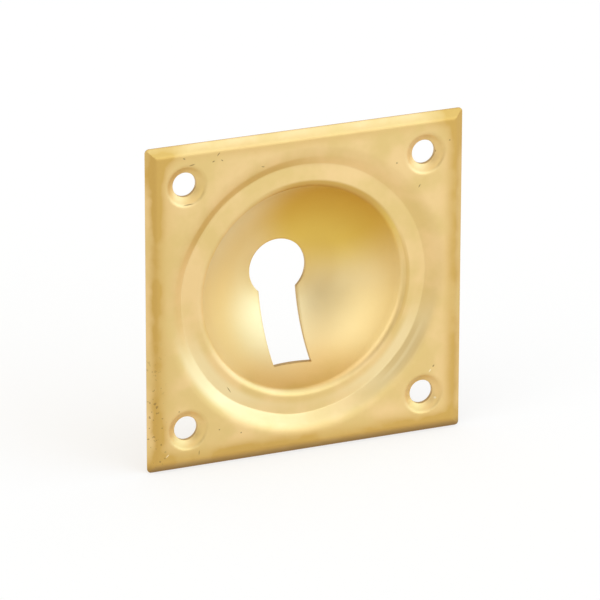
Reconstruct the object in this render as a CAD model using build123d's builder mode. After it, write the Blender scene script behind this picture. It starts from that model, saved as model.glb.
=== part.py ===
from build123d import *
import math
import os

# Keyhole escutcheon pressed from one square of brass sheet, in millimetres.
# The mounting plane is Y = 0, the front faces -Y, and the keyhole stands along Z.
# Heights are measured from the mounting plane towards the front, so what is let into the wood is negative.

# Sheet and rim: the bevel climbs from a small upright land at the edge
plate_side = 45.0
sheet = 0.5
field_height = 0.85
edge_land = 0.15
bevel_run = 1.2
bevel_round = 1.2
corner_round = 0.6

# Recess, from the rim inwards: flat margin, shoulder, step, ledge, lip and dish
field_margin = 1.05
shoulder_round = 3.5
step_run = 1.85
foot_round = 0.4
ledge_width = 3.05
ledge_fall = 0.15
lip_height = -0.1
lip_round = 1.2
dish_depth = 9.6

# Screw holes, each at the bottom of a round dimple between the recess and a corner
dimple_gap = 0.65
screw_hole_diameter = 3.3
dimple_diameter = 5.4
dimple_depth = 1.15
dimple_round = 0.8
dimple_margin = 0.4

# Keyhole: the eye is centred on the dish, and the slot ends short of the lip
key_circle_diameter = 8.1
key_slot_width = 5.4
key_slot_gap = 2.5

# Radii of the recess, which fills the plate inside its margin
foot_height = lip_height - ledge_fall
step_angle = math.atan2(field_height - foot_height, step_run)
recess_radius = plate_side / 2 - bevel_run - field_margin
step_radius = recess_radius - shoulder_round * math.tan(step_angle / 2)
foot_radius = step_radius - step_run
dish_radius = foot_radius - ledge_width
key_slot_length = dish_radius - key_slot_gap

# The screws stand on the diagonals, where their dimples clear the recess
dimple_radius = dimple_diameter / 2
dimple_reach = dimple_radius + dimple_margin
screw_offset = (recess_radius + dimple_gap + dimple_reach) / math.sqrt(2)
screw_pitch = 2 * screw_offset
screw_places = [(x, 0, z) for x in (-screw_offset, screw_offset) for z in (-screw_offset, screw_offset)]

# The hollow behind the field leaves the bevel one sheet thick
bevel_angle = math.atan2(field_height - edge_land, bevel_run)
hollow_side = plate_side + 2 * edge_land / math.tan(bevel_angle) - 2 * sheet / math.sin(bevel_angle)
hollow_height = field_height - sheet
hollow_run = hollow_height / math.tan(bevel_angle)

# A section is drawn with its radius along +X and its height along -Y
section = Plane(origin=(0, 0, 0), x_dir=(1, 0, 0), z_dir=(0, 0, -1))
through = 2 * (dish_depth + field_height + sheet)

# Bevelled square that the front of the rim and field follow
with BuildPart() as front_block:
    with BuildSketch(Plane.XZ):
        Rectangle(plate_side, plate_side)
    extrude(amount=edge_land)
    with BuildSketch(Plane.XZ.offset(edge_land)):
        Rectangle(plate_side, plate_side)
    with BuildSketch(Plane.XZ.offset(field_height)):
        Rectangle(plate_side - 2 * bevel_run, plate_side - 2 * bevel_run)
    loft(ruled=True)
    fillet(faces().sort_by(Axis.Y)[0].edges(), bevel_round)
    with BuildSketch(Plane.XZ):
        RectangleRounded(plate_side, plate_side, corner_round)
    extrude(amount=field_height, mode=Mode.INTERSECT)

# Bevelled square of the hollow behind them
with BuildPart() as hollow_block:
    with BuildSketch(Plane.XZ):
        Rectangle(hollow_side, hollow_side)
    with BuildSketch(Plane.XZ.offset(hollow_height)):
        Rectangle(hollow_side - 2 * hollow_run, hollow_side - 2 * hollow_run)
    loft(ruled=True)

# Pressed recess: a spherical dish, its rolled lip, the ledge and the step up to the field
with BuildPart() as recess:
    with BuildSketch(section):
        with BuildLine():
            TangentArc((0, lip_height - dish_depth), (dish_radius, lip_height), tangent=(1, 0))
            Polyline(
                (dish_radius, lip_height),
                (foot_radius, foot_height),
                (step_radius, field_height),
                (recess_radius, field_height),
            )
            # Each rounding turns one corner into two, so the next corner is two further out
            for corner, rounding in ((1, lip_round), (3, foot_round), (5, shoulder_round)):
                fillet(vertices().sort_by(Axis.X)[corner], rounding)
            offset(amount=sheet, side=Side.RIGHT)
        make_face()
    revolve(axis=Axis.Y)

# Round dimple for a screw head
with BuildPart() as dimple:
    with BuildSketch(section):
        with BuildLine():
            TangentArc((0, field_height - dimple_depth), (dimple_radius, field_height), tangent=(1, 0))
            Line((dimple_radius, field_height), (dimple_reach, field_height))
            fillet(vertices().sort_by(Axis.X)[1], dimple_round)
            offset(amount=sheet, side=Side.RIGHT)
        make_face()
    revolve(axis=Axis.Y)

with BuildPart() as escutcheon_plate:
    add(front_block.part)
    add(hollow_block.part, mode=Mode.SUBTRACT)
    with BuildSketch(Plane.XZ):
        Circle(recess_radius)
        with GridLocations(screw_pitch, screw_pitch, 2, 2):
            Circle(dimple_reach)
    extrude(amount=field_height, mode=Mode.SUBTRACT)
    add(recess.part)
    with Locations(*screw_places):
        add(dimple.part)
    with BuildSketch(Plane.XZ):
        with GridLocations(screw_pitch, screw_pitch, 2, 2):
            Circle(screw_hole_diameter / 2)
        Circle(key_circle_diameter / 2)
        Rectangle(key_slot_width, key_slot_length, align=(Align.CENTER, Align.MAX))
    extrude(amount=through, both=True, mode=Mode.SUBTRACT)

escutcheon_plate.part.label = "escutcheon_plate"

os.makedirs("parts", exist_ok=True)
export_step(escutcheon_plate.part, "parts/escutcheon_plate.step")
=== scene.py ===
import logging
import math
from bisect import bisect_right
from collections.abc import Iterable
from dataclasses import dataclass, field
from enum import Enum, IntEnum
from functools import cached_property, reduce
from typing import Any, ClassVar

import bmesh
import bpy
from bmesh.types import BMEdge, BMesh, BMFace, BMVert
from mathutils import Matrix, Vector


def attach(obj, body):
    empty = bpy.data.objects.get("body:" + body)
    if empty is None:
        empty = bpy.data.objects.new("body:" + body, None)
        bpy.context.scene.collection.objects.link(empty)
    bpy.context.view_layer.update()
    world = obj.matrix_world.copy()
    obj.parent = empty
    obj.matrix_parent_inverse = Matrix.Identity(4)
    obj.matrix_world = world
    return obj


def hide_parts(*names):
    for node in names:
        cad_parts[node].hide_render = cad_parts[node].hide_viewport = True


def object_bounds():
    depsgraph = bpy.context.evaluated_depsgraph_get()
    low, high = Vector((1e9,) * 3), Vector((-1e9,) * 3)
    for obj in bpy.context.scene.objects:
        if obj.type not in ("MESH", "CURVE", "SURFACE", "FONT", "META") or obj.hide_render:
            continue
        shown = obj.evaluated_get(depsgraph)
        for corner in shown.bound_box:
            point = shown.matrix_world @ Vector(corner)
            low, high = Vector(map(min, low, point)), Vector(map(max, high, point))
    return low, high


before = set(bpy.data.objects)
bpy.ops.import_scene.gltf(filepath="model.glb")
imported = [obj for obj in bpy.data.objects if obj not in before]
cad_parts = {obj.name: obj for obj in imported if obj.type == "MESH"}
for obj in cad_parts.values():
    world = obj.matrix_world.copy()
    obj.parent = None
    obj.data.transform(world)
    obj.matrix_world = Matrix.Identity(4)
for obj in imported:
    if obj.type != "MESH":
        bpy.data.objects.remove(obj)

# Keyhole escutcheon: one square of brass sheet, pressed, pierced and left raw.
# Sizes are in millimetres and meshes in metres. The front faces -Y, and a height is how far
# a point stands in front of the mounting plane, so what is let into the wood is negative.

MM = 0.001
LOG = logging.getLogger("escutcheon")
CAD_BOX = [list(corner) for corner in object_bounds()]
NOISE_MEAN = 0.5

Point = tuple[float, float]
Span = tuple[float, float]
Colour = tuple[float, float, float]


class Skin(Enum):
    """The two faces of the pressed sheet."""

    FRONT = "front"
    BACK = "back"


class Coat(IntEnum):
    """The plate's finishes, by their place in its list of materials."""

    FRONT = 0
    CUT = 1
    BACK = 2


@dataclass(frozen=True)
class Straight:
    """A straight stretch of a section, from the run where it starts."""

    start: float
    level: float
    slope: float = 0.0

    def height(self, run: float) -> float:
        """The stretch's height at a run."""
        return self.level + (run - self.start) * self.slope

    def behind(self, depth: float) -> "Straight":
        """The same stretch, set back across its slope."""
        back = depth / math.hypot(1.0, self.slope)
        return Straight(self.start + back * self.slope, self.level - back, self.slope)


@dataclass(frozen=True)
class Round:
    """A round stretch of a section, crowned or hollow, from the run where it starts."""

    start: float
    centre: Point
    radius: float
    crowned: bool

    def height(self, run: float) -> float:
        """The stretch's height at a run."""
        rise = math.sqrt(max(0.0, self.radius**2 - (run - self.centre[0]) ** 2))
        return self.centre[1] + (rise if self.crowned else -rise)

    def behind(self, depth: float) -> "Round":
        """The same stretch, set back across its slope.

        Args:
            depth: How far back.

        Returns:
            The stretch, tighter if it is crowned and wider if it is hollow.
        """
        radius = self.radius + (-depth if self.crowned else depth)
        start = self.centre[0] + (self.start - self.centre[0]) * radius / self.radius
        return Round(start, self.centre, radius, self.crowned)


@dataclass(frozen=True)
class Section:
    """A pressed section: stretches in the order of their starts."""

    stretches: tuple[Straight | Round, ...]

    def height(self, run: float) -> float:
        """The height at a run, which is that of the last stretch that starts before it."""
        last = bisect_right(self.starts(), run) - 1
        return self.stretches[max(last, 0)].height(run)

    def starts(self) -> tuple[float, ...]:
        """Where each stretch starts."""
        return tuple(stretch.start for stretch in self.stretches)

    def behind(self, depth: float) -> "Section":
        """The section of a face that lies so far behind this one."""
        return Section(tuple(stretch.behind(depth) for stretch in self.stretches))


def rounded_corner(
    corner: Point, slope_in: float, slope_out: float, radius: float
) -> tuple[Round, Straight]:
    """Rounds the corner between two straight stretches.

    Args:
        corner: Run and height of the sharp corner.
        slope_in: Slope before the corner.
        slope_out: Slope after it.
        radius: The rounding.

    Returns:
        The rounding, and the straight stretch that leaves it.
    """
    angle_in, angle_out = math.atan(slope_in), math.atan(slope_out)
    reach = radius * math.tan(abs(angle_out - angle_in) / 2)
    crowned = slope_out < slope_in
    side = -radius if crowned else radius
    start = corner[0] - reach * math.cos(angle_in)
    level = corner[1] - reach * math.sin(angle_in)
    centre = (start - side * math.sin(angle_in), level + side * math.cos(angle_in))
    end = corner[0] + reach * math.cos(angle_out)
    leaving = Straight(end, corner[1] + reach * math.sin(angle_out), slope_out)
    return Round(start, centre, radius, crowned), leaving


def rounded_bowl(
    mouth: Point, depth: float, slope_out: float, radius: float
) -> tuple[Round, Round, Straight]:
    """A round bowl with its mouth rolled over into a straight stretch.

    Args:
        mouth: Radius and height of the bowl's sharp mouth.
        depth: How deep the bowl is below its mouth.
        slope_out: Slope of the stretch outside the mouth.
        radius: The rounding of the mouth.

    Returns:
        The bowl, its rolled mouth, and the straight stretch that leaves it.
    """
    bowl_radius = (mouth[0] ** 2 + depth**2) / (2 * depth)
    bowl_centre = mouth[1] - depth + bowl_radius
    lean = math.hypot(1.0, slope_out)
    # The rolling circle touches the bowl from outside and the straight stretch from below
    drop = mouth[1] - slope_out * mouth[0] - radius * lean - bowl_centre
    reach = bowl_radius + radius
    half = drop * slope_out / lean**2
    run = -half + math.sqrt(half**2 - (drop**2 - reach**2) / lean**2)
    centre = (run, bowl_centre + drop + slope_out * run)
    bowl = Round(0.0, (0.0, bowl_centre), bowl_radius, False)
    roll = Round(run * bowl_radius / reach, centre, radius, True)
    end = run - radius * slope_out / lean
    leaving = Straight(end, mouth[1] + (end - mouth[0]) * slope_out, slope_out)
    return bowl, roll, leaving


@dataclass(frozen=True)
class Ripple:
    """A faint ripple in the sheet: two crossing waves, each with its rates and its phase."""

    height: float
    first: tuple[float, float, float]
    second: tuple[float, float, float]

    def at(self, x: float, z: float) -> float:
        """How far the ripple lifts a point of the plate."""
        waves = (self.first, self.second)
        return self.height * math.prod(math.sin(across * x + up * z + phase) for across, up, phase in waves)


@dataclass(frozen=True)
class Lobe:
    """A wave around the plate, so many to the turn, that puts the step out of round."""

    count: int
    height: float
    phase: float


@dataclass(frozen=True)
class PressedForm:
    """The driving sizes of the pressed sheet, and the sections that follow from them."""

    plate_side: float = 45.0
    sheet: float = 0.5
    field_height: float = 0.85
    edge_land: float = 0.15
    bevel_run: float = 1.2
    bevel_round: float = 1.2
    corner_round: float = 0.6
    field_margin: float = 1.05
    shoulder_round: float = 3.5
    step_run: float = 1.85
    foot_round: float = 0.4
    ledge_width: float = 3.05
    ledge_fall: float = 0.15
    lip_height: float = -0.1
    lip_round: float = 1.2
    dish_depth: float = 9.6
    dimple_gap: float = 0.65
    screw_hole_diameter: float = 3.3
    dimple_diameter: float = 5.4
    dimple_depth: float = 1.15
    dimple_round: float = 0.8
    dimple_margin: float = 0.4
    key_circle_diameter: float = 8.1
    key_slot_width: float = 5.4
    key_slot_gap: float = 2.5
    ripples: tuple[Ripple, ...] = (
        Ripple(0.022, (0.31, 0.12, 0.8), (-0.09, 0.24, 1.9)),
        Ripple(0.009, (0.62, -0.41, 2.6), (0.28, 0.55, 0.0)),
    )
    lobes: tuple[Lobe, ...] = (Lobe(3, 0.05, 0.7), Lobe(7, 0.04, 2.1), Lobe(11, 0.035, 0.4))
    lobe_run: float = 2.0

    @property
    def half(self) -> float:
        """Half the plate's side."""
        return self.plate_side / 2

    @property
    def bevel_slope(self) -> float:
        """How steeply the bevel climbs from the edge to the field."""
        return (self.field_height - self.edge_land) / self.bevel_run

    @property
    def recess_radius(self) -> float:
        """Where the recess's shoulder meets the flat field."""
        return self.half - self.bevel_run - self.field_margin

    @property
    def foot_height(self) -> float:
        """Height of the step's foot, which the ledge falls to from the lip."""
        return self.lip_height - self.ledge_fall

    @property
    def step_slope(self) -> float:
        """How steeply the step climbs from its foot to the field."""
        return (self.field_height - self.foot_height) / self.step_run

    @property
    def step_radius(self) -> float:
        """Where the step would meet the field if its shoulder were sharp."""
        half_turn = math.atan(self.step_slope) / 2
        return self.recess_radius - self.shoulder_round * math.tan(half_turn)

    @property
    def foot_radius(self) -> float:
        """Where the step would meet the ledge if its foot were sharp."""
        return self.step_radius - self.step_run

    @property
    def dish_radius(self) -> float:
        """Where the dish would meet the ledge if its lip were sharp."""
        return self.foot_radius - self.ledge_width

    @property
    def key_slot_length(self) -> float:
        """How far the keyhole's slot hangs down from the middle of its eye."""
        return self.dish_radius - self.key_slot_gap

    def recess(self) -> Section:
        """The round recess by radius.

        Returns:
            The section of the dish, lip, ledge, foot, step, shoulder and field.
        """
        fall = -self.ledge_fall / self.ledge_width
        climb = self.step_slope
        mouth = (self.dish_radius, self.lip_height)
        dish, lip, ledge = rounded_bowl(mouth, self.dish_depth, fall, self.lip_round)
        low = (self.foot_radius, self.foot_height)
        foot, step = rounded_corner(low, fall, climb, self.foot_round)
        high = (self.step_radius, self.field_height)
        shoulder, flat = rounded_corner(high, climb, 0.0, self.shoulder_round)
        return Section((dish, lip, ledge, foot, step, shoulder, flat))

    def rim(self) -> Section:
        """The rim by distance from the plate's edge.

        Returns:
            The section of the bevel, its rounding and the field.
        """
        bevel = Straight(0.0, self.edge_land, self.bevel_slope)
        corner = (self.bevel_run, self.field_height)
        rounding, flat = rounded_corner(corner, self.bevel_slope, 0.0, self.bevel_round)
        return Section((bevel, rounding, flat))

    def dimple(self) -> Section:
        """A screw dimple by radius: bowl, rolled mouth and field."""
        mouth = (self.dimple_diameter / 2, self.field_height)
        return Section(rounded_bowl(mouth, self.dimple_depth, 0.0, self.dimple_round))

    @property
    def dimple_reach(self) -> float:
        """The radius around a screw that its dimple takes up."""
        return self.dimple_diameter / 2 + self.dimple_margin

    @property
    def screw_places(self) -> tuple[Point, ...]:
        """The four screw holes, on the plate's diagonals."""
        offset = (self.recess_radius + self.dimple_gap + self.dimple_reach) / math.sqrt(2)
        return tuple((x, z) for x in (-offset, offset) for z in (-offset, offset))

    @property
    def hollow_inset(self) -> float:
        """How far in from the plate's edge the hollow behind it starts."""
        lean = math.hypot(1.0, self.bevel_slope)
        return (self.sheet * lean - self.edge_land) / self.bevel_slope


class PressedFace:
    """The heights of one face of the sheet at any point of the plate."""

    def __init__(self, form: PressedForm, skin: Skin) -> None:
        """Sets the form's sections back by one sheet for the back face.

        Args:
            form: The plate's form.
            skin: The face.
        """
        depth = form.sheet if skin is Skin.BACK else 0.0
        self.form = form
        self.recess = form.recess().behind(depth)
        self.rim = form.rim().behind(depth)
        self.dimple = form.dimple().behind(depth)
        self.edge = form.hollow_inset if skin is Skin.BACK else 0.0

    def out_of_round(self, x: float, z: float) -> float:
        """How far the step around the ledge is pressed in or out of round.

        Args:
            x: Place across the plate.
            z: Place up the plate.

        Returns:
            What the pressing adds to the point's radius.
        """
        form = self.form
        turn = math.atan2(x, z)
        past_lip = math.hypot(x, z) - form.dish_radius - form.lip_round
        settled = min(1.0, max(0.0, past_lip) / form.lobe_run)
        waves = (lobe.height * math.sin(lobe.count * turn + lobe.phase) for lobe in form.lobes)
        return settled * sum(waves)

    def height(self, x: float, z: float) -> float:
        """Height of the face in front of the mounting plane.

        Args:
            x: Place across the plate.
            z: Place up the plate.

        Returns:
            The height, with the faint ripples that the press leaves away from the rim.
        """
        form = self.form
        edge = max(0.0, form.half - max(abs(x), abs(z)))
        radius = math.hypot(x, z) + self.out_of_round(x, z)
        height = min(self.recess.height(radius), self.rim.height(edge))
        for screw_x, screw_z in form.screw_places:
            reach = math.hypot(x - screw_x, z - screw_z)
            if reach < form.dimple_reach:
                height = min(height, self.dimple.height(reach))
        settled = min(1.0, max(0.0, edge - self.edge) / form.bevel_run)
        return height + settled * sum(ripple.at(x, z) for ripple in form.ripples)


@dataclass(frozen=True)
class Blank:
    """The flat blank as closed rows of points, from the keyhole out to the plate's edge.

    Every row has the same number of columns. Column 0 is at the top, and columns run clockwise.
    """

    form: PressedForm
    columns: int = 256
    eye_columns: int = 56
    slot_columns: int = 56
    corner_columns: int = 8
    dish_rows: int = 32
    round_rows: int = 8
    straight_rows: int = 5
    field_rows: int = 20

    def keyhole(self, column: int) -> Point:
        """A point on the keyhole's outline.

        Args:
            column: Its column, in the right half from the top down, or in the mirrored left half.

        Returns:
            The point.
        """
        half_turn = self.columns // 2
        if column > half_turn:
            x, z = self.keyhole(self.columns - column)
            return -x, z
        eye = self.form.key_circle_diameter / 2
        slot = self.form.key_slot_width / 2
        bottom = -self.form.key_slot_length
        neck_turn = math.pi - math.asin(slot / eye)
        if column <= self.eye_columns:
            turn = neck_turn * column / self.eye_columns
            return eye * math.sin(turn), eye * math.cos(turn)
        neck = eye * math.cos(neck_turn)
        down = (column - self.eye_columns) / self.slot_columns
        if down <= 1:
            return slot, neck + (bottom - neck) * down
        bottom_columns = half_turn - self.eye_columns - self.slot_columns
        return slot * (half_turn - column) / bottom_columns, bottom

    def ring(self, radius: float) -> list[Point]:
        """A round row about the plate's centre."""
        return round_row((0.0, 0.0), radius, self.columns)

    def outline(self, column: int) -> Point:
        """A point on the plate's rounded square outline.

        Args:
            column: Its column.

        Returns:
            The point.
        """
        quarter = self.columns // 4
        arc = self.corner_columns // 2
        straight = quarter - 2 * arc
        # Steps run along one side, from the middle of one rounded corner to that of the next
        side, step = divmod(column + quarter // 2, quarter)
        along = min(max(step - arc, 0), straight)
        turn = math.pi / 4 * (step - arc - along) / arc
        rounding = self.form.corner_round
        flat = self.form.half - rounding
        x = flat * (2 * along / straight - 1) + rounding * math.sin(turn)
        z = flat + rounding * math.cos(turn)
        for _ in range(side % 4):
            x, z = z, -x
        return x, z

    def square(self, inset: float) -> list[Point]:
        """A square row, drawn in from the plate's outline by an inset."""
        shrink = 1 - inset / self.form.half
        return [(x * shrink, z * shrink) for x, z in map(self.outline, range(self.columns))]

    def rows(self, face: PressedFace) -> list[list[Point]]:
        """All rows of one face, from the keyhole outwards.

        Args:
            face: The face, whose sections say where rows are needed.

        Returns:
            Rows of points, closer together where the sections bend.
        """
        _, lip, ledge, foot, step, shoulder, flat = face.recess.starts()
        _, rounding, field_edge = face.rim.starts()
        rows = [[self.keyhole(column) for column in range(self.columns)]]
        for outer, count in (
            (self.ring(lip), self.dish_rows),
            (self.ring(ledge), self.round_rows),
            (self.ring(foot), self.straight_rows),
            (self.ring(step), self.round_rows),
            (self.ring(shoulder), self.straight_rows),
            (self.ring(flat), self.round_rows),
            (self.square(field_edge), self.field_rows),
            (self.square(rounding), self.round_rows),
            (self.square(face.edge), self.straight_rows),
        ):
            rows += row_steps(rows[-1], outer, count)
        return rows


def round_row(middle: Point, radius: float, columns: int) -> list[Point]:
    """A round row of points, from the top clockwise.

    Args:
        middle: The row's centre.
        radius: Its radius.
        columns: How many points it has.

    Returns:
        The points.
    """
    turns = [2 * math.pi * column / columns for column in range(columns)]
    return [(middle[0] + radius * math.sin(turn), middle[1] + radius * math.cos(turn)) for turn in turns]


def row_steps(inner: list[Point], outer: list[Point], count: int) -> list[list[Point]]:
    """Evenly spaced rows from one row to another.

    Args:
        inner: The row to start after.
        outer: The row to end on.
        count: How many rows to make.

    Returns:
        The rows after the inner one, up to and with the outer one.
    """
    shares = [step / count for step in range(1, count + 1)]
    return [
        [(a + (c - a) * share, b + (d - b) * share) for (a, b), (c, d) in zip(inner, outer)]
        for share in shares
    ]


class Value:
    """A node socket that Python's operators add Math nodes to."""

    def __init__(self, sheet: "NodeSheet", socket: bpy.types.NodeSocket) -> None:
        """Wraps a socket of a node in the sheet."""
        self.sheet = sheet
        self.socket = socket

    def _math(self, operation: str, first: Any, second: Any) -> "Value":
        """Adds a Math node for an operation on two values."""
        sockets = {0: first, 1: second}
        return self.sheet.node("ShaderNodeMath", {"operation": operation}, sockets)

    def __add__(self, other: Any) -> "Value":
        """Sum."""
        return self._math("ADD", self, other)

    __radd__ = __add__

    def __sub__(self, other: Any) -> "Value":
        """Difference."""
        return self._math("SUBTRACT", self, other)

    def __rsub__(self, other: Any) -> "Value":
        """Difference from a number."""
        return self._math("SUBTRACT", other, self)

    def __mul__(self, other: Any) -> "Value":
        """Product."""
        return self._math("MULTIPLY", self, other)

    __rmul__ = __mul__

    def __pow__(self, other: Any) -> "Value":
        """Power."""
        return self._math("POWER", self, other)

    def __rpow__(self, other: Any) -> "Value":
        """Power of a number."""
        return self._math("POWER", other, self)

    def __abs__(self) -> "Value":
        """Size without its sign."""
        return self.sheet.node("ShaderNodeMath", {"operation": "ABSOLUTE"}, {0: self})

    def at_least(self, other: Any) -> "Value":
        """The larger of this and another value."""
        return self._math("MAXIMUM", self, other)

    def band(self, span: Span) -> "Value":
        """A smooth change from 0 where this is the span's first number to 1 where it is the second."""
        sockets = {"Value": self, "From Min": span[0], "From Max": span[1]}
        return self.sheet.node("ShaderNodeMapRange", {"interpolation_type": "SMOOTHSTEP"}, sockets)


class NodeSheet:
    """A node tree that nodes are added to by type."""

    def __init__(self, tree: bpy.types.NodeTree) -> None:
        """Starts on an empty tree."""
        self.tree = tree
        tree.nodes.clear()

    def node(
        self,
        kind: str,
        settings: dict[str, Any] | None = None,
        sockets: dict[str | int, Any] | None = None,
        output: str | int = 0,
    ) -> Value:
        """Adds one node.

        Args:
            kind: The node's type.
            settings: Its properties, set first.
            sockets: Values or links of its inputs, by name or place.
            output: The output to hand back.

        Returns:
            The chosen output, or the node's first input if it has no output.
        """
        made = self.tree.nodes.new(kind)
        for name, setting in (settings or {}).items():
            setattr(made, name, setting)
        for name, given in (sockets or {}).items():
            if isinstance(given, Value):
                self.tree.links.new(given.socket, made.inputs[name])
            else:
                made.inputs[name].default_value = given
        return Value(self, made.outputs[output] if made.outputs else made.inputs[0])

    def mix(self, share: Any, first: Any, second: Any, blend: str = "MIX") -> Value:
        """A colour between two colours, or the first with a share of the second blended in."""
        settings = {"data_type": "RGBA", "blend_type": blend}
        return self.node("ShaderNodeMix", settings, {0: share, 6: first, 7: second}, output=2)

    def metal(self, sockets: dict[str, Any]) -> None:
        """Ends a material in a metal surface."""
        surface = self.node("ShaderNodeBsdfPrincipled", {}, {"Metallic": 1.0, **sockets})
        self.node("ShaderNodeOutputMaterial", {}, {"Surface": surface})


def opaque(colour: Colour) -> tuple[float, float, float, float]:
    """A colour as a socket takes it."""
    return (*colour, 1.0)


def new_material(name: str) -> tuple[bpy.types.Material, NodeSheet]:
    """Starts a material.

    Args:
        name: Its name.

    Returns:
        The material, and its empty node tree.
    """
    made = bpy.data.materials.new(name)
    made.use_nodes = True
    return made, NodeSheet(made.node_tree)


class Spot:
    """A point of the plate in a material, by its place in millimetres."""

    def __init__(self, sheet: NodeSheet) -> None:
        """Starts from the plate's own coordinates."""
        self.sheet = sheet
        self.place = sheet.node("ShaderNodeTexCoord", output="Object")

    def along(self, axis: str) -> Value:
        """The point's place along an axis."""
        return self.sheet.node("ShaderNodeSeparateXYZ", {}, {0: self.place}, output=axis) * (1 / MM)

    @cached_property
    def x(self) -> Value:
        """The point's place across the plate."""
        return self.along("X")

    @cached_property
    def z(self) -> Value:
        """The point's place up the plate."""
        return self.along("Z")

    @cached_property
    def radius(self) -> Value:
        """How far the point is from the plate's centre."""
        return self.away_from(0.0, 0.0)

    def away_from(self, x: float, z: float) -> Value:
        """How far the point is from a place on the plate."""
        aside, above = self.x - x, self.z - z
        return (aside * aside + above * above) ** 0.5

    def noise(self, size: float, detail: float) -> Value:
        """Noise whose lumps are about so many millimetres across."""
        sockets = {"Vector": self.place, "Scale": 1 / (size * MM), "Detail": detail, "Roughness": 0.5}
        return self.sheet.node("ShaderNodeTexNoise", {}, sockets)


def scaled(span: Span, factor: float) -> Span:
    """A span with both numbers multiplied by a factor."""
    return span[0] * factor, span[1] * factor


class Tone(Enum):
    """What a mark shows: a dark pit in the brass, or a painted glint beside a dent."""

    PIT = "pit"
    PAINTED_GLINT = "painted_glint"


@dataclass(frozen=True)
class Mark:
    """A small flat mark on the front: a speck, or a scratch along the way it is turned, either a dark pit
    or a painted glint.
    """

    x: float
    z: float
    length: float
    width: float
    turn_deg: float = 0.0
    height: float = 0.85
    tone: Tone = Tone.PIT


@dataclass(frozen=True)
class CreaseShade:
    """A line of painted shade along a ring of the pressing, strongest at one place and gone at its reach.
    """

    radius: float
    width: float
    x: float
    z: float
    reach: float
    share: float

    SIDE_FADE: ClassVar[Span] = (0.7, 0.3)
    END_FADE: ClassVar[Span] = (1.0, 0.4)

    def shade_share(self, spot: Spot) -> Value:
        """How much painted shade the line lays at a point, 0 away from the line."""
        line = abs(spot.radius - self.radius).band(scaled(self.SIDE_FADE, self.width))
        return self.share * line * spot.away_from(self.x, self.z).band(scaled(self.END_FADE, self.reach))


@dataclass(frozen=True)
class EdgeShade:
    """Where the front is painted darker towards the plate's edges, as painted shade in ragged patches, and
    how much.
    """

    low: Span = (-18.4, -21.8)
    low_share: float = 0.9
    left: Span = (-17.5, -21.6)
    left_share: float = 0.45
    right: Span = (18.5, 22.2)
    right_share: float = 0.45
    left_edge_band: Span = (-0.2, 1.4)
    groove_outside: Span = (0.2, 1.2)
    groove_inside: Span = (3.0, 1.2)
    groove_share: float = 0.35
    left_groove_share: float = 0.3
    corner: Span = (37.5, 42.5)
    upper_half: Span = (-5.0, 5.0)
    upper_corner_share: float = 0.9
    corner_relief: float = 0.15
    ragged: float = 0.8
    ragged_size: float = 2.2
    ragged_detail: float = 3.0

    def edge_shade_share(self, spot: Spot, half: float) -> Value:
        """How much painted shade the edges get.

        Args:
            spot: The point.
            half: Half the plate's side.

        Returns:
            The share of painted shade, about 0 in the middle of the plate.
        """
        ragged = spot.noise(self.ragged_size, self.ragged_detail) - NOISE_MEAN
        edge = half - abs(spot.x).at_least(abs(spot.z)) + self.ragged * ragged
        left = spot.x.band(self.left)
        groove = edge.band(self.groove_outside) * edge.band(self.groove_inside)
        corner = (abs(spot.x) + abs(spot.z)).band(self.corner)
        upper = self.upper_corner_share * spot.z.band(self.upper_half)
        # Painted shade, darkest along the bottom, then by the left and right sides, in the groove inside
        # the bevel and at the upper corners, and eased at the lower corners.
        return (
            self.low_share * spot.z.band(self.low)
            + self.left_share * left * edge.band(self.left_edge_band)
            + self.right_share * spot.x.band(self.right)
            + groove * (self.groove_share + self.left_groove_share * left)
            + corner * (upper - self.corner_relief)
        )


@dataclass(frozen=True)
class DishPaintedLight:
    """Where the dish walls and the ledge get a paler painted highlight, and where the roof of the dish gets
    a deeper-gold painted shade.
    """

    wall_outside: Span = (14.6, 13.9)
    wall_inside: Span = (2.0, 6.5)
    wall_bottom: Span = (-13.0, -9.0)
    wall_least: float = 0.4
    ledge_inside: Span = (15.4, 16.4)
    ledge_outside: Span = (19.6, 18.4)
    ledge_low: Span = (-2.0, -9.0)
    ledge_bottom: Span = (-13.0, -17.0)
    ledge_fade: float = 0.7
    roof_middle: Point = (6.0, 8.0)
    roof_reach: Span = (11.5, 4.5)
    roof_edge: Span = (15.1, 14.7)

    def painted_highlight(self, spot: Spot) -> Value:
        """How much painted highlight a point gets.

        Args:
            spot: The point.

        Returns:
            The share, 0 on the field.
        """
        wall = spot.radius.band(self.wall_outside) * spot.radius.band(self.wall_inside)
        wall = wall * (self.wall_least + (1 - self.wall_least) * spot.z.band(self.wall_bottom))
        ledge = spot.radius.band(self.ledge_inside) * spot.radius.band(self.ledge_outside)
        ledge = ledge * spot.z.band(self.ledge_low)
        return wall.at_least(ledge * (1.0 - self.ledge_fade * spot.z.band(self.ledge_bottom)))

    def painted_roof_shade(self, spot: Spot) -> Value:
        """How much painted shade a point of the dish's roof gets, 0 outside the dish."""
        roof = spot.away_from(*self.roof_middle).band(self.roof_reach)
        return roof * spot.radius.band(self.roof_edge)


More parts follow.
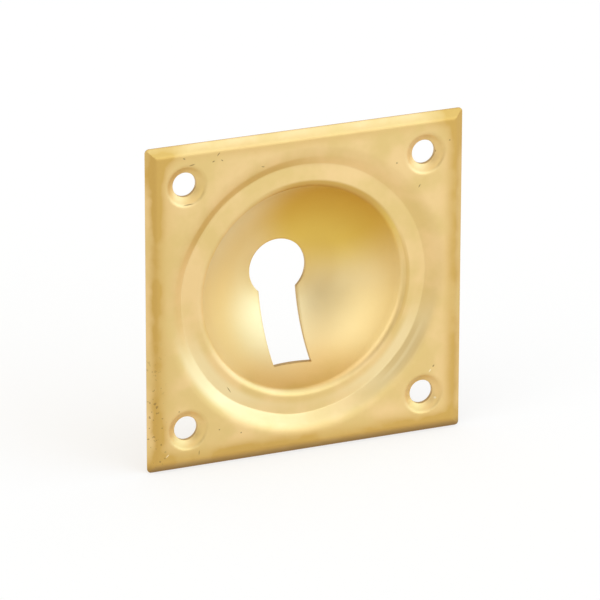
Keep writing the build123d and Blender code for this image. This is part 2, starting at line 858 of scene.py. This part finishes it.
@dataclass(frozen=True)
class RawBrass:
    """Raw brass sheet, satin and mottled and marked by use, with painted shade towards its edges, along
    lines of the pressing and on the dish's roof, and painted highlights on the dish walls, the ledge and
    beside dents.
    """

    name: str = "raw_brass"
    form: PressedForm = PressedForm()
    edge_shade: EdgeShade = EdgeShade()
    dish_painted_light: DishPaintedLight = DishPaintedLight()
    rosy: Colour = (0.860, 0.615, 0.285)
    olive: Colour = (0.765, 0.555, 0.220)
    # Painted highlight: the paler brass laid on the dish walls and the ledge where they catch light.
    painted_highlight: Colour = (0.875, 0.695, 0.365)
    # Painted shade: the deeper gold laid on the roof of the dish.
    painted_roof_shade: Colour = (0.780, 0.550, 0.120)
    # Painted shade: the dark brass laid by the edges and along lines of the pressing.
    painted_shade: Colour = (0.640, 0.405, 0.110)
    # Painted shade: the darkest brass, laid along the plate's bottom edge by the floor.
    foot: Colour = (0.360, 0.215, 0.070)
    pit: Colour = (0.260, 0.160, 0.060)
    # Painted glint: the light brass laid where a dent catches the light.
    painted_glint: Colour = (0.950, 0.830, 0.560)
    mottle_size: float = 6.0
    mottle_detail: float = 3.0
    mottle_span: Span = (0.35, 0.65)
    patch_least: float = 0.6
    patch_gain: float = 0.8
    foot_shade_span: Span = (-21.0, -22.4)
    speck_size: float = 0.5
    speck_detail: float = 1.0
    speck_grain: Span = (0.63, 0.70)
    speck_left: Span = (-19.8, -20.6)
    speck_low: Span = (-2.0, -14.0)
    speck_share: float = 0.6
    mark_share: float = 0.8
    mark_fade: Span = (1.0, 0.3)
    mark_depth: float = 0.3
    roughness: float = 0.45
    grain_size: float = 0.35
    grain_roughness: float = 0.10
    mottle_roughness: float = 0.08
    peel_size: float = 1.6
    fine_detail: float = 2.0
    peel_share: float = 0.8
    bump_strength: float = 0.25
    bump_depth: float = 0.04
    # Dark pits, and some painted glints beside them.
    marks: tuple[Mark, ...] = (
        Mark(-17.3, 20.8, 0.5, 0.25, -30.0),
        Mark(-16.2, 19.8, 1.1, 0.22, 10.0),
        Mark(-13.2, 19.9, 0.5, 0.25, 20.0),
        Mark(-12.5, 20.8, 0.8, 0.20, 50.0),
        Mark(-12.0, 19.9, 0.5, 0.20, -40.0),
        Mark(-6.2, 18.2, 0.7, 0.18, -15.0, 0.70),
        Mark(-16.7, 14.4, 2.0, 0.18, 4.0, 0.75),
        Mark(18.6, 16.9, 0.4, 0.5, 0.0, 0.10),
        Mark(12.8, 16.2, 0.3, 0.3),
        Mark(20.4, 18.4, 0.3, 0.25),
        Mark(16.1, 12.6, 0.7, 0.22, 60.0),
        Mark(18.4, -13.2, 0.5, 0.3, 50.0),
        Mark(17.9, -13.8, 0.7, 0.22, 50.0, 0.85, Tone.PAINTED_GLINT),
        Mark(18.9, -18.0, 0.5, 0.4, 0.0, 0.35, Tone.PAINTED_GLINT),
        Mark(-18.2, -14.2, 0.3, 0.25),
        Mark(-12.5, -17.6, 0.3, 0.25),
        Mark(-9.4, -18.5, 0.3, 0.25),
        Mark(-15.4, -20.4, 0.9, 0.16, 85.0),
        Mark(-10.7, -12.6, 1.4, 0.16, -58.0, -0.20),
        Mark(-19.9, -20.2, 0.8, 0.20, 40.0, 0.85, Tone.PAINTED_GLINT),
    )
    # Painted shade outside the top and right of the lip, along the step at upper left and lower right, and
    # in the dish right of the keyhole.
    crease_shades: tuple[CreaseShade, ...] = (
        CreaseShade(14.6, 1.0, 4.0, 13.5, 12.0, 1.0),
        CreaseShade(15.0, 0.5, 15.0, -1.0, 9.0, 0.45),
        CreaseShade(17.7, 0.7, 14.4, -10.8, 6.0, 0.3),
        CreaseShade(18.8, 0.8, 14.4, -10.8, 6.0, 0.25),
        CreaseShade(18.0, 1.1, -10.0, 15.0, 14.0, 0.5),
        CreaseShade(5.5, 5.0, 5.5, 0.0, 5.5, 0.22),
    )

    def rolled(self, mottle: Value) -> Value:
        """The mottled colour that the rolling mill leaves."""
        return mottle.sheet.mix(mottle.band(self.mottle_span), opaque(self.olive), opaque(self.rosy))

    def painted_shade_share(self, spot: Spot, mottle: Value) -> Value:
        """How much painted shade a point gets, in patches by the edges and along lines of the pressing.

        Args:
            spot: The point.
            mottle: The slow noise of the sheet.

        Returns:
            The share of painted shade.
        """
        patchy = self.patch_least + self.patch_gain * mottle.band(self.mottle_span)
        creased_shade = reduce(Value.at_least, [crease_shade.shade_share(spot) for crease_shade in self.crease_shades])
        return patchy * self.edge_shade.edge_shade_share(spot, self.form.half) + creased_shade

    def specked(self, spot: Spot) -> Value:
        """How far a point lies in one of the small pits by the lower left edge."""
        specks = spot.noise(self.speck_size, self.speck_detail).band(self.speck_grain)
        return specks * spot.x.band(self.speck_left) * spot.z.band(self.speck_low)

    def marked(self, spot: Spot, tone: Tone) -> Value:
        """Where the marks of one tone lie.

        Args:
            spot: The point.
            tone: Which marks.

        Returns:
            1 on a mark, fading to 0 at its border.
        """
        covers = []
        for mark in (mark for mark in self.marks if mark.tone is tone):
            sockets = {
                "Vector": spot.place,
                "Location": (mark.x * MM, -mark.height * MM, mark.z * MM),
                "Rotation": (0.0, math.radians(-mark.turn_deg), 0.0),
                "Scale": (mark.length / 2 * MM, self.mark_depth * MM, mark.width / 2 * MM),
            }
            local = spot.sheet.node("ShaderNodeMapping", {"vector_type": "TEXTURE"}, sockets)
            settings = {"operation": "LENGTH"}
            away = spot.sheet.node("ShaderNodeVectorMath", settings, {0: local}, output="Value")
            covers.append(away.band(self.mark_fade))
        return reduce(Value.at_least, covers)

    def coloured(self, spot: Spot, mottle: Value) -> Value:
        """The brass's colour, in the order in which its tones lie over each other.

        Args:
            spot: The point.
            mottle: The slow noise of the sheet.

        Returns:
            The colour.
        """
        colour = self.rolled(mottle)
        # Over the mottle lie a painted highlight on the dish walls and ledge, painted shade on the dish's
        # roof, painted shade by the edges and along lines of the pressing, painted shade along the bottom
        # edge, dark pits, and painted glints.
        for share, tone in (
            (self.dish_painted_light.painted_highlight(spot), self.painted_highlight),
            (self.dish_painted_light.painted_roof_shade(spot), self.painted_roof_shade),
            (self.painted_shade_share(spot, mottle), self.painted_shade),
            (spot.z.band(self.foot_shade_span), self.foot),
            (self.speck_share * self.specked(spot), self.pit),
            (self.mark_share * self.marked(spot, Tone.PIT), self.pit),
            (self.mark_share * self.marked(spot, Tone.PAINTED_GLINT), self.painted_glint),
        ):
            colour = spot.sheet.mix(share, colour, opaque(tone))
        return colour

    def material(self) -> bpy.types.Material:
        """Makes the finish as a material.

        Returns:
            The material.
        """
        made, sheet = new_material(self.name)
        spot = Spot(sheet)
        mottle = spot.noise(self.mottle_size, self.mottle_detail)
        grain = spot.noise(self.grain_size, self.fine_detail)
        peel = spot.noise(self.peel_size, self.fine_detail)
        roughness = self.roughness + self.grain_roughness * (grain - NOISE_MEAN)
        relief = {
            "Strength": self.bump_strength,
            "Distance": self.bump_depth * MM,
            "Height": self.peel_share * peel + (1 - self.peel_share) * grain,
        }
        sheet.metal({
            "Base Color": self.coloured(spot, mottle),
            "Roughness": roughness + self.mottle_roughness * (mottle - NOISE_MEAN),
            "Normal": sheet.node("ShaderNodeBump", {}, relief),
        })
        return made


@dataclass(frozen=True)
class MillBrass(RawBrass):
    """The back of the sheet, mottled alone, without the front's marks, painted shade and painted
    highlights.
    """

    name: str = "mill_brass"

    def coloured(self, spot: Spot, mottle: Value) -> Value:
        """The brass's colour, mottled alone."""
        return self.rolled(mottle)


@dataclass(frozen=True)
class ShearedBrass:
    """The dull brass of the sheet's cut edges."""

    name: str = "sheared_brass"
    colour: Colour = (0.70, 0.50, 0.24)
    roughness: float = 0.5

    def material(self) -> bpy.types.Material:
        """Makes the finish as a material.

        Returns:
            The material.
        """
        made, sheet = new_material(self.name)
        sheet.metal({"Base Color": opaque(self.colour), "Roughness": self.roughness})
        return made


def only(parts: Iterable[Any], kind: type) -> list[Any]:
    """The parts of a mesh that are of one kind."""
    return [part for part in parts if isinstance(part, kind)]


def finished_mesh(name: str, bm: BMesh) -> bpy.types.Mesh:
    """Turns an edited mesh into a mesh that can be shown.

    Args:
        name: The mesh's name.
        bm: The edited mesh, which is freed.

    Returns:
        The mesh.
    """
    mesh = bpy.data.meshes.new(name)
    bm.to_mesh(mesh)
    bm.free()
    return mesh


def linked_object(name: str, bm: BMesh, materials: Iterable[bpy.types.Material]) -> bpy.types.Object:
    """Puts an edited mesh into the scene as an object at the origin.

    Args:
        name: The object's name.
        bm: The edited mesh, which is freed.
        materials: The object's materials, in their order.

    Returns:
        The object.
    """
    mesh = finished_mesh(name, bm)
    for material in materials:
        mesh.materials.append(material)
    made = bpy.data.objects.new(name, mesh)
    bpy.context.scene.collection.objects.link(made)
    return made


@dataclass
class EscutcheonPlate:
    """The pressed plate: its two faces, the walls of its cuts and its brass."""

    form: PressedForm = field(default_factory=PressedForm)
    finish: RawBrass = field(default_factory=RawBrass)
    cut_finish: ShearedBrass = field(default_factory=ShearedBrass)
    back_finish: MillBrass = field(default_factory=MillBrass)
    name: str = "escutcheon_shell"
    node: str = "escutcheon_plate"
    body: str = "root"
    slot: str = "brass"
    dimple_columns: int = 64
    dimple_rows: int = 14
    dimple_seam: float = 0.15
    cut_round: float = 0.05
    cut_angle_deg: float = 35.0

    WELD: ClassVar[float] = 1e-6
    ON_DIAGONAL: ClassVar[float] = 1e-6

    def __post_init__(self) -> None:
        """Works out the blank."""
        self.blank = Blank(self.form)

    def pressed_grid(self, bm: BMesh, rows: list[list[Point]], face: PressedFace) -> None:
        """Rolls a grid up into closed rows of the blank and presses it to a face's heights.

        Args:
            bm: The mesh to add to.
            rows: The blank's rows.
            face: The face.
        """
        across, along = len(rows[0]), len(rows) - 1
        made = bmesh.ops.create_grid(bm, x_segments=across, y_segments=along, size=1.0)
        for vert in made["verts"]:
            column = round((vert.co.x + 1) / 2 * across) % across
            x, z = rows[round((vert.co.y + 1) / 2 * along)][column]
            vert.co = Vector((x, -face.height(x, z), z)) * MM
        bmesh.ops.remove_doubles(bm, verts=made["verts"], dist=self.WELD)

    def near(self, place: Vector, middle: Point, reach: float) -> bool:
        """Whether a place on the mesh is within reach of the middle of a cut."""
        return math.hypot(place.x - middle[0] * MM, place.z - middle[1] * MM) < reach * MM

    def dimple_rings(self, screw: Point) -> list[list[Point]]:
        """The round rows of a dimple.

        Args:
            screw: The screw's place.

        Returns:
            Rows of points, from the screw hole outwards.
        """
        hole = round_row(screw, self.form.screw_hole_diameter / 2, self.dimple_columns)
        rim = round_row(screw, self.form.dimple_reach, self.dimple_columns)
        return [hole, *row_steps(hole, rim, self.dimple_rows)]

    def set_dimple(self, bm: BMesh, screw: Point, face: PressedFace) -> None:
        """Cuts a round patch out of a face's field and sets a pressed dimple in it.

        Args:
            bm: The face's mesh.
            screw: The screw's place.
            face: The face.
        """
        reach = self.form.dimple_reach
        patch = reach + self.dimple_seam
        outer = {edge for edge in bm.edges if edge.is_boundary}
        cut = {vert for vert in bm.verts if self.near(vert.co, screw, patch)}
        gone = [part for part in bm.faces if not cut.isdisjoint(part.verts)]
        bmesh.ops.delete(bm, geom=gone, context="FACES")
        self.pressed_grid(bm, self.dimple_rings(screw), face)
        middle = (self.form.screw_hole_diameter / 2 + reach) / 2
        made = [edge for edge in bm.edges if edge.is_boundary and edge not in outer]
        rim = [edge for edge in made if not self.near(edge.verts[0].co, screw, middle)]
        bmesh.ops.triangle_fill(bm, use_beauty=True, edges=rim, normal=(0.0, -1.0, 0.0))

    def pressed_face(self, skin: Skin) -> bpy.types.Mesh:
        """One whole face of the sheet, with its dimples.

        Args:
            skin: The face.

        Returns:
            The face as a mesh, to be joined with the other.
        """
        bm = bmesh.new()
        face = PressedFace(self.form, skin)
        self.pressed_grid(bm, self.blank.rows(face), face)
        for screw in self.form.screw_places:
            self.set_dimple(bm, screw, face)
        self.coat(bm.faces, Coat.BACK if skin is Skin.BACK else Coat.FRONT)
        return finished_mesh(f"{self.name}_{skin.value}", bm)

    def fold_edge(self, bm: BMesh) -> None:
        """Turns the front's outer edge straight back to the mounting plane, then in to the back's.

        Args:
            bm: The mesh of both faces.
        """
        inset = self.form.hollow_inset
        open_edges = [edge for edge in bm.edges if edge.is_boundary]
        outer = [edge for edge in open_edges if self.on_rim(edge.verts[0], 2 * inset)]
        front = [edge for edge in outer if self.on_rim(edge.verts[0], inset / 2)]
        back = [edge for edge in outer if edge not in front]
        land = bmesh.ops.extrude_edge_only(bm, edges=front)["geom"]
        self.coat(only(land, BMFace), Coat.CUT)
        resting = {vert for edge in back for vert in edge.verts}
        for vert in resting.union(only(land, BMVert)):
            vert.co.y = 0.0
        land_edges = [edge for edge in only(land, BMEdge) if edge.is_boundary]
        under = bmesh.ops.extrude_edge_only(bm, edges=land_edges)["geom"]
        under_verts = only(under, BMVert)
        shrink = 1 - inset / self.form.half
        bmesh.ops.scale(bm, verts=under_verts, vec=(shrink, 1.0, shrink))
        bmesh.ops.remove_doubles(bm, verts=[*under_verts, *resting], dist=self.WELD)

    def on_rim(self, vert: BMVert, inset: float) -> bool:
        """Whether a corner of the mesh lies within an inset of the plate's sides."""
        return max(abs(vert.co.x), abs(vert.co.z)) > (self.form.half - inset) * MM

    def close_cuts(self, bm: BMesh) -> None:
        """Joins the two faces by the walls of the keyhole and the screw holes.

        Args:
            bm: The mesh of both faces.
        """
        open_edges = [edge for edge in bm.edges if edge.is_boundary]
        cuts = [((0.0, 0.0), self.form.recess_radius)]
        cuts += [(screw, self.form.screw_hole_diameter) for screw in self.form.screw_places]
        for middle, reach in cuts:
            wall = [edge for edge in open_edges if self.near(edge.verts[0].co, middle, reach)]
            self.coat(bmesh.ops.bridge_loops(bm, edges=wall)["faces"], Coat.CUT)

    def coat(self, faces: Iterable[BMFace], coat: Coat) -> None:
        """Gives faces one of the plate's finishes."""
        for face in faces:
            face.material_index = coat

    def on_hip(self, edge: BMEdge) -> bool:
        """Whether an edge runs along a corner's mitre, where two bevels meet."""
        gaps = [abs(abs(vert.co.x) - abs(vert.co.z)) for vert in edge.verts]
        return max(gaps) < self.ON_DIAGONAL

    def soften_cuts(self, bm: BMesh) -> None:
        """Takes the sharpness off the cut edges and keeps the mitres of the rim crisp.

        Args:
            bm: The closed mesh.
        """
        bmesh.ops.recalc_face_normals(bm, faces=bm.faces)
        sharpest = math.radians(self.cut_angle_deg)
        sharp = [edge for edge in bm.edges if edge.calc_face_angle(0.0) > sharpest]
        hips = [edge for edge in sharp if self.on_hip(edge)]
        cuts = [edge for edge in sharp if not self.on_hip(edge)]
        for edge in hips:
            edge.smooth = False
        bmesh.ops.bevel(
            bm,
            geom=cuts,
            offset=self.cut_round * MM,
            offset_type="OFFSET",
            affect="EDGES",
            segments=2,
            profile=0.5,
            material=-1,
            clamp_overlap=True,
        )
        bmesh.ops.recalc_face_normals(bm, faces=bm.faces)

    def build(self) -> bpy.types.Object:
        """Builds the plate, dresses it and puts it in the place of its CAD node.

        Returns:
            The plate's object.
        """
        bm = bmesh.new()
        for skin in Skin:
            face = self.pressed_face(skin)
            bm.from_mesh(face)
            bpy.data.meshes.remove(face)
        self.fold_edge(bm)
        self.close_cuts(bm)
        self.soften_cuts(bm)
        for face in bm.faces:
            face.smooth = True
        finishes = (self.finish, self.cut_finish, self.back_finish)
        plate = linked_object(self.name, bm, [finish.material() for finish in finishes])
        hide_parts(self.node)
        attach(plate, self.body)
        return plate


def direction(azimuth_deg: float, elevation_deg: float) -> Vector:
    """A direction from the plate's centre.

    Args:
        azimuth_deg: Its turn from the front to the right.
        elevation_deg: Its rise above the level.

    Returns:
        The direction, one long.
    """
    azimuth, elevation = math.radians(azimuth_deg), math.radians(elevation_deg)
    flat = math.cos(elevation)
    return Vector((math.sin(azimuth) * flat, -math.cos(azimuth) * flat, math.sin(elevation)))


@dataclass(frozen=True)
class Viewpoint:
    """The camera: where it stands, how it is turned, and its lens."""

    azimuth_deg: float = -23.211
    elevation_deg: float = 20.477
    distance: float = 731.5
    axis_azimuth_deg: float = -23.162
    axis_elevation_deg: float = 20.583
    roll_deg: float = 0.142
    lens: float = 333.37
    nearest: float = 10.0
    farthest: float = 100000.0

    def build(self) -> None:
        """Sets the camera up."""
        back = direction(self.axis_azimuth_deg, self.axis_elevation_deg)
        level = Vector((0.0, 0.0, 1.0)).cross(back).normalized()
        right = Matrix.Rotation(math.radians(self.roll_deg), 3, back) @ level
        up = back.cross(right)
        place = direction(self.azimuth_deg, self.elevation_deg) * self.distance * MM
        data = bpy.data.cameras.new("camera")
        data.lens = self.lens
        data.clip_start = self.nearest * MM
        data.clip_end = self.farthest * MM
        camera = bpy.data.objects.new("camera", data)
        turned = Matrix((right, up, back)).transposed().to_4x4()
        camera.matrix_world = Matrix.Translation(place) @ turned
        bpy.context.scene.collection.objects.link(camera)
        bpy.context.scene.camera = camera


@dataclass(frozen=True)
class Glow:
    """A soft round light in the surroundings, half as bright at its spread from the middle."""

    azimuth_deg: float
    elevation_deg: float
    spread_deg: float
    colour: Colour

    @property
    def sharpness(self) -> float:
        """How fast the glow fades with the cosine of the angle from its middle."""
        return math.log(2) / (1 - math.cos(math.radians(self.spread_deg)))


@dataclass(frozen=True)
class Studio:
    """A plain white studio: floor, surroundings and camera."""

    viewpoint: Viewpoint = Viewpoint()
    floor_half: float = 2000.0
    floor_colour: Colour = (0.9, 0.9, 0.9)
    shadow_colour: Colour = (0.4, 0.4, 0.4)
    white: float = 0.59
    ambient: Colour = (0.22, 0.19, 0.15)
    glows: tuple[Glow, ...] = (
        Glow(22.0, 3.0, 15.0, (1.75, 1.85, 1.95)),
        Glow(50.0, 5.0, 18.0, (0.65, 0.95, 1.30)),
        Glow(78.0, 5.0, 20.0, (0.55, 0.70, 0.90)),
        Glow(105.0, 6.0, 24.0, (1.10, 1.15, 1.20)),
        Glow(-88.0, 5.0, 21.0, (1.15, 1.20, 1.20)),
        Glow(-60.0, 3.0, 18.0, (0.35, 0.30, 0.15)),
        Glow(-65.0, 40.0, 24.0, (1.20, 1.30, 1.35)),
        Glow(70.0, 38.0, 24.0, (0.60, 0.75, 0.95)),
        Glow(40.0, 28.0, 18.0, (0.45, 0.75, 1.15)),
        Glow(15.0, 30.0, 18.0, (0.55, 0.65, 0.80)),
        Glow(5.0, 50.0, 24.0, (0.25, 0.20, 0.15)),
        Glow(0.0, 85.0, 28.0, (0.80, 0.70, 0.55)),
        Glow(180.0, 25.0, 35.0, (0.45, 0.45, 0.45)),
    )

    def surroundings(self) -> None:
        """Lights the scene from all round."""
        world = bpy.data.worlds.new("studio")
        world.use_nodes = True
        sheet = NodeSheet(world.node_tree)
        toward = sheet.node("ShaderNodeTexCoord", output="Generated")
        colour: Any = opaque(self.ambient)
        for glow in self.glows:
            sockets = {0: toward, 1: tuple(direction(glow.azimuth_deg, glow.elevation_deg))}
            settings = {"operation": "DOT_PRODUCT"}
            facing = sheet.node("ShaderNodeVectorMath", settings, sockets, output="Value")
            share = math.e ** (glow.sharpness * (facing - 1.0))
            colour = sheet.mix(share, colour, opaque(glow.colour), blend="ADD")
        light = sheet.node("ShaderNodeBackground", {}, {"Color": colour})
        sheet.node("ShaderNodeOutputWorld", {}, {"Surface": light})
        bpy.context.scene.world = world

    def paper(self) -> bpy.types.Material:
        """White paper, which camera and metal see as white apart from the plate's soft shadow.

        Returns:
            The material.
        """
        paper, sheet = new_material("white_paper")
        rays = ("Camera", "Glossy", "Transmission")
        seen = sum(sheet.node("ShaderNodeLightPath", output=f"Is {ray} Ray") for ray in rays)
        matt = sheet.node("ShaderNodeBsdfDiffuse", {}, {"Color": opaque(self.floor_colour)})
        shadow = sheet.node("ShaderNodeBsdfDiffuse", {}, {"Color": opaque(self.shadow_colour)})
        white = sheet.node("ShaderNodeEmission", {}, {"Strength": self.white})
        bright = sheet.node("ShaderNodeAddShader", {}, {0: shadow, 1: white})
        surface = sheet.node("ShaderNodeMixShader", {}, {0: seen, 1: matt, 2: bright})
        sheet.node("ShaderNodeOutputMaterial", {}, {"Surface": surface})
        return paper

    def floor(self) -> None:
        """Lays the pale floor that the plate's lower edge stands on."""
        bm = bmesh.new()
        bmesh.ops.create_grid(bm, x_segments=1, y_segments=1, size=self.floor_half * MM)
        bmesh.ops.translate(bm, verts=bm.verts, vec=(0.0, 0.0, CAD_BOX[0][2]))
        floor = linked_object("floor", bm, [self.paper()])

    def build(self) -> None:
        """Sets the whole studio up."""
        bpy.context.scene.view_settings.view_transform = "Standard"
        self.surroundings()
        self.floor()
        self.viewpoint.build()


def write_sizes() -> None:
    """Brings the scene's view layer up to date."""
    bpy.context.view_layer.update()


def main() -> None:
    """Builds the plate and its studio, and logs the plate's face count."""
    logging.basicConfig(level=logging.INFO, format="%(name)s: %(message)s")
    plate = EscutcheonPlate().build()
    LOG.info("%s: %d faces", plate.name, len(plate.data.polygons))
    Studio().build()
    write_sizes()


if __name__ == "__main__":
    main()
